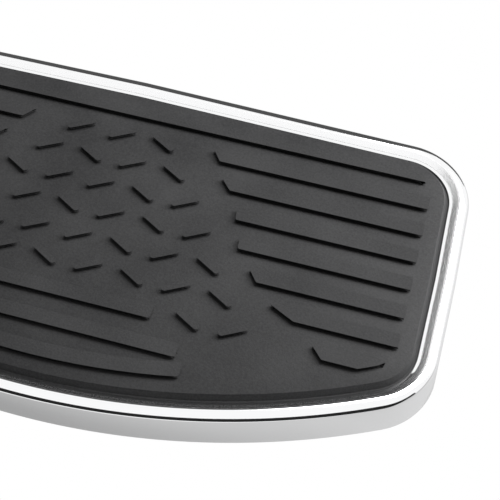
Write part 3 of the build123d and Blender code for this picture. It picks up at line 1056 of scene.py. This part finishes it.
# Studio: a white light table under the board, grey cards round it that only mirrors see, a large lamp
# behind the board on its right, a smaller one overhead and a small low one at its right end.
board_centre = Vector((0, -0.085, 0.054))
table_gap = 0.03
table_height = cad_low.z - table_gap
table_outline = ((-2.5, -0.25), (0.2, -0.25), (3, -1.2), (3, 0.25), (-2.5, 0.25))
table_cloth_grey = 0.42
table_mirrored = 0.34
sky_on_board = 0.1
white = (1, 1, 1, 1)
card_distance = 1.5
card_foot = -0.8
card_steps = 24


def stage_mesh(name, points, faces, material):
    """A stage object, which isn't part of the footboard."""
    mesh = bpy.data.meshes.new(name)
    mesh.from_pydata(points, [], faces)
    mesh.materials.append(material)
    stage_object = bpy.data.objects.new(name, mesh)
    bpy.context.scene.collection.objects.link(stage_object)
    return stage_object


def background_mask(tree, mirrored):
    """1 for rays from the camera, and a share for those that metal and glass send straight on."""
    path = tree.nodes.new("ShaderNodeLightPath")
    straight = worked(tree, "ShaderNodeMath", "LESS_THAN", (path.outputs["Diffuse Depth"], 0.5))
    total = path.outputs["Is Camera Ray"]
    for label in ("Is Glossy Ray", "Is Transmission Ray"):
        share = worked(tree, "ShaderNodeMath", "MULTIPLY", (path.outputs[label], mirrored))
        first = worked(tree, "ShaderNodeMath", "MULTIPLY", (share, straight))
        total = worked(tree, "ShaderNodeMath", "MAXIMUM", (total, first))
    return total


def mixed_shader(tree, factor, first, second):
    """What a mix of two shaders puts out, by a factor that goes from the first to the second."""
    mix = tree.nodes.new("ShaderNodeMixShader")
    for value, socket in zip((factor, first, second), mix.inputs):
        tree.links.new(value, socket)
    return mix.outputs[0]


table_white = bpy.data.materials.new("table_white")
table_white.use_nodes = True
table_tree = table_white.node_tree
table_tree.nodes.clear()
table_output = table_tree.nodes.new("ShaderNodeOutputMaterial")
table_cloth = table_tree.nodes.new("ShaderNodeBsdfDiffuse")
table_cloth.inputs["Color"].default_value = (table_cloth_grey, table_cloth_grey, table_cloth_grey, 1)
table_glow = table_tree.nodes.new("ShaderNodeEmission")
table_glow.inputs["Color"].default_value = white
table_side = table_tree.nodes.new("ShaderNodeNewGeometry").outputs["Backfacing"]
table_clear = table_tree.nodes.new("ShaderNodeBsdfTransparent")
table_mask = background_mask(table_tree, table_mirrored)
table_top = mixed_shader(table_tree, table_mask, table_cloth.outputs[0], table_glow.outputs[0])
table_faces = mixed_shader(table_tree, table_side, table_top, table_clear.outputs[0])
table_tree.links.new(table_faces, table_output.inputs["Surface"])

table_points = [(x, y, table_height) for x, y in table_outline]
stage_mesh("light_table", table_points, [tuple(range(len(table_points)))], table_white)

world = bpy.data.worlds.new("studio")
bpy.context.scene.world = world
world.use_nodes = True
world_tree = world.node_tree
sky = world_tree.nodes["Background"]
sky.inputs["Color"].default_value = white
sky_strength = world_tree.nodes.new("ShaderNodeMapRange")
sky_strength.inputs["To Min"].default_value = sky_on_board
sky_strength.inputs["To Max"].default_value = 1
world_tree.links.new(background_mask(world_tree, 1), sky_strength.inputs["Value"])
world_tree.links.new(sky_strength.outputs["Result"], sky.inputs["Strength"])


def card(name, angles, tops, grey):
    """A curved grey card, for mirrors only, from one angle to the other, counted from +X to +Y."""
    paint = bpy.data.materials.new(name)
    paint.use_nodes = True
    shader = paint.node_tree.nodes["Principled BSDF"]
    shader.inputs["Base Color"].default_value = (0, 0, 0, 1)
    shader.inputs["Specular IOR Level"].default_value = 0
    shader.inputs["Emission Color"].default_value = (grey, grey, grey, 1)
    shader.inputs["Emission Strength"].default_value = 1
    points = []
    for step in range(card_steps + 1):
        share = step / card_steps
        angle = math.radians(angles[0] * (1 - share) + angles[1] * share)
        top = tops[0] * (1 - share) + tops[1] * share
        x = board_centre.x + card_distance * math.cos(angle)
        y = board_centre.y + card_distance * math.sin(angle)
        points += [(x, y, card_foot), (x, y, top)]
    faces = [(2 * n, 2 * n + 2, 2 * n + 3, 2 * n + 1) for n in range(card_steps)]
    made = stage_mesh(name, points, faces, paint)
    made.visible_camera = False
    made.visible_diffuse = False
    made.visible_shadow = False
    return made


card("front_card", angles=(200, 348), tops=(0.55, 0.45), grey=0.02)
card("back_card", angles=(60, 122), tops=(0.0, 2.3), grey=0.08)
card("left_card", angles=(123, 200), tops=(0.35, 1.25), grey=0.24)


def area_lamp(name, place, size, power):
    """A square lamp that faces the board."""
    lamp = bpy.data.lights.new(name, "AREA")
    lamp.size = size
    lamp.energy = power
    lamp_object = bpy.data.objects.new(name, lamp)
    lamp_object.location = place
    lamp_object.rotation_euler = (board_centre - Vector(place)).to_track_quat("-Z", "Y").to_euler()
    bpy.context.scene.collection.objects.link(lamp_object)
    lamp_object.visible_camera = False
    return lamp_object


area_lamp("key_lamp", place=(0.42, 0.62, 1.3), size=0.8, power=11.5)
area_lamp("top_lamp", place=(0.15, 0.45, 1.3), size=0.4, power=2.5)
area_lamp("side_lamp", place=(0.4, 0.12, 0.32), size=0.25, power=2.4)

# Camera: a long lens, well above the board on its outer side and turned to its right end. The view
# leaves out the board's left end, as the photograph does.
eye = Vector((0.13442, -0.34535, 0.45032))
aim = Vector((0.05607, -0.07959, 0.0543))
lens_length = 105.97
sensor_width = 36
nearest = 0.01
camera_data = bpy.data.cameras.new("camera")
camera_data.sensor_width = sensor_width
camera_data.lens = lens_length
camera_data.clip_start = nearest
camera = bpy.data.objects.new("camera", camera_data)
camera.location = eye
camera.rotation_euler = (aim - eye).to_track_quat("-Z", "Y").to_euler()
bpy.context.scene.collection.objects.link(camera)
bpy.context.scene.camera = camera
bpy.context.scene.view_settings.view_transform = "Standard"
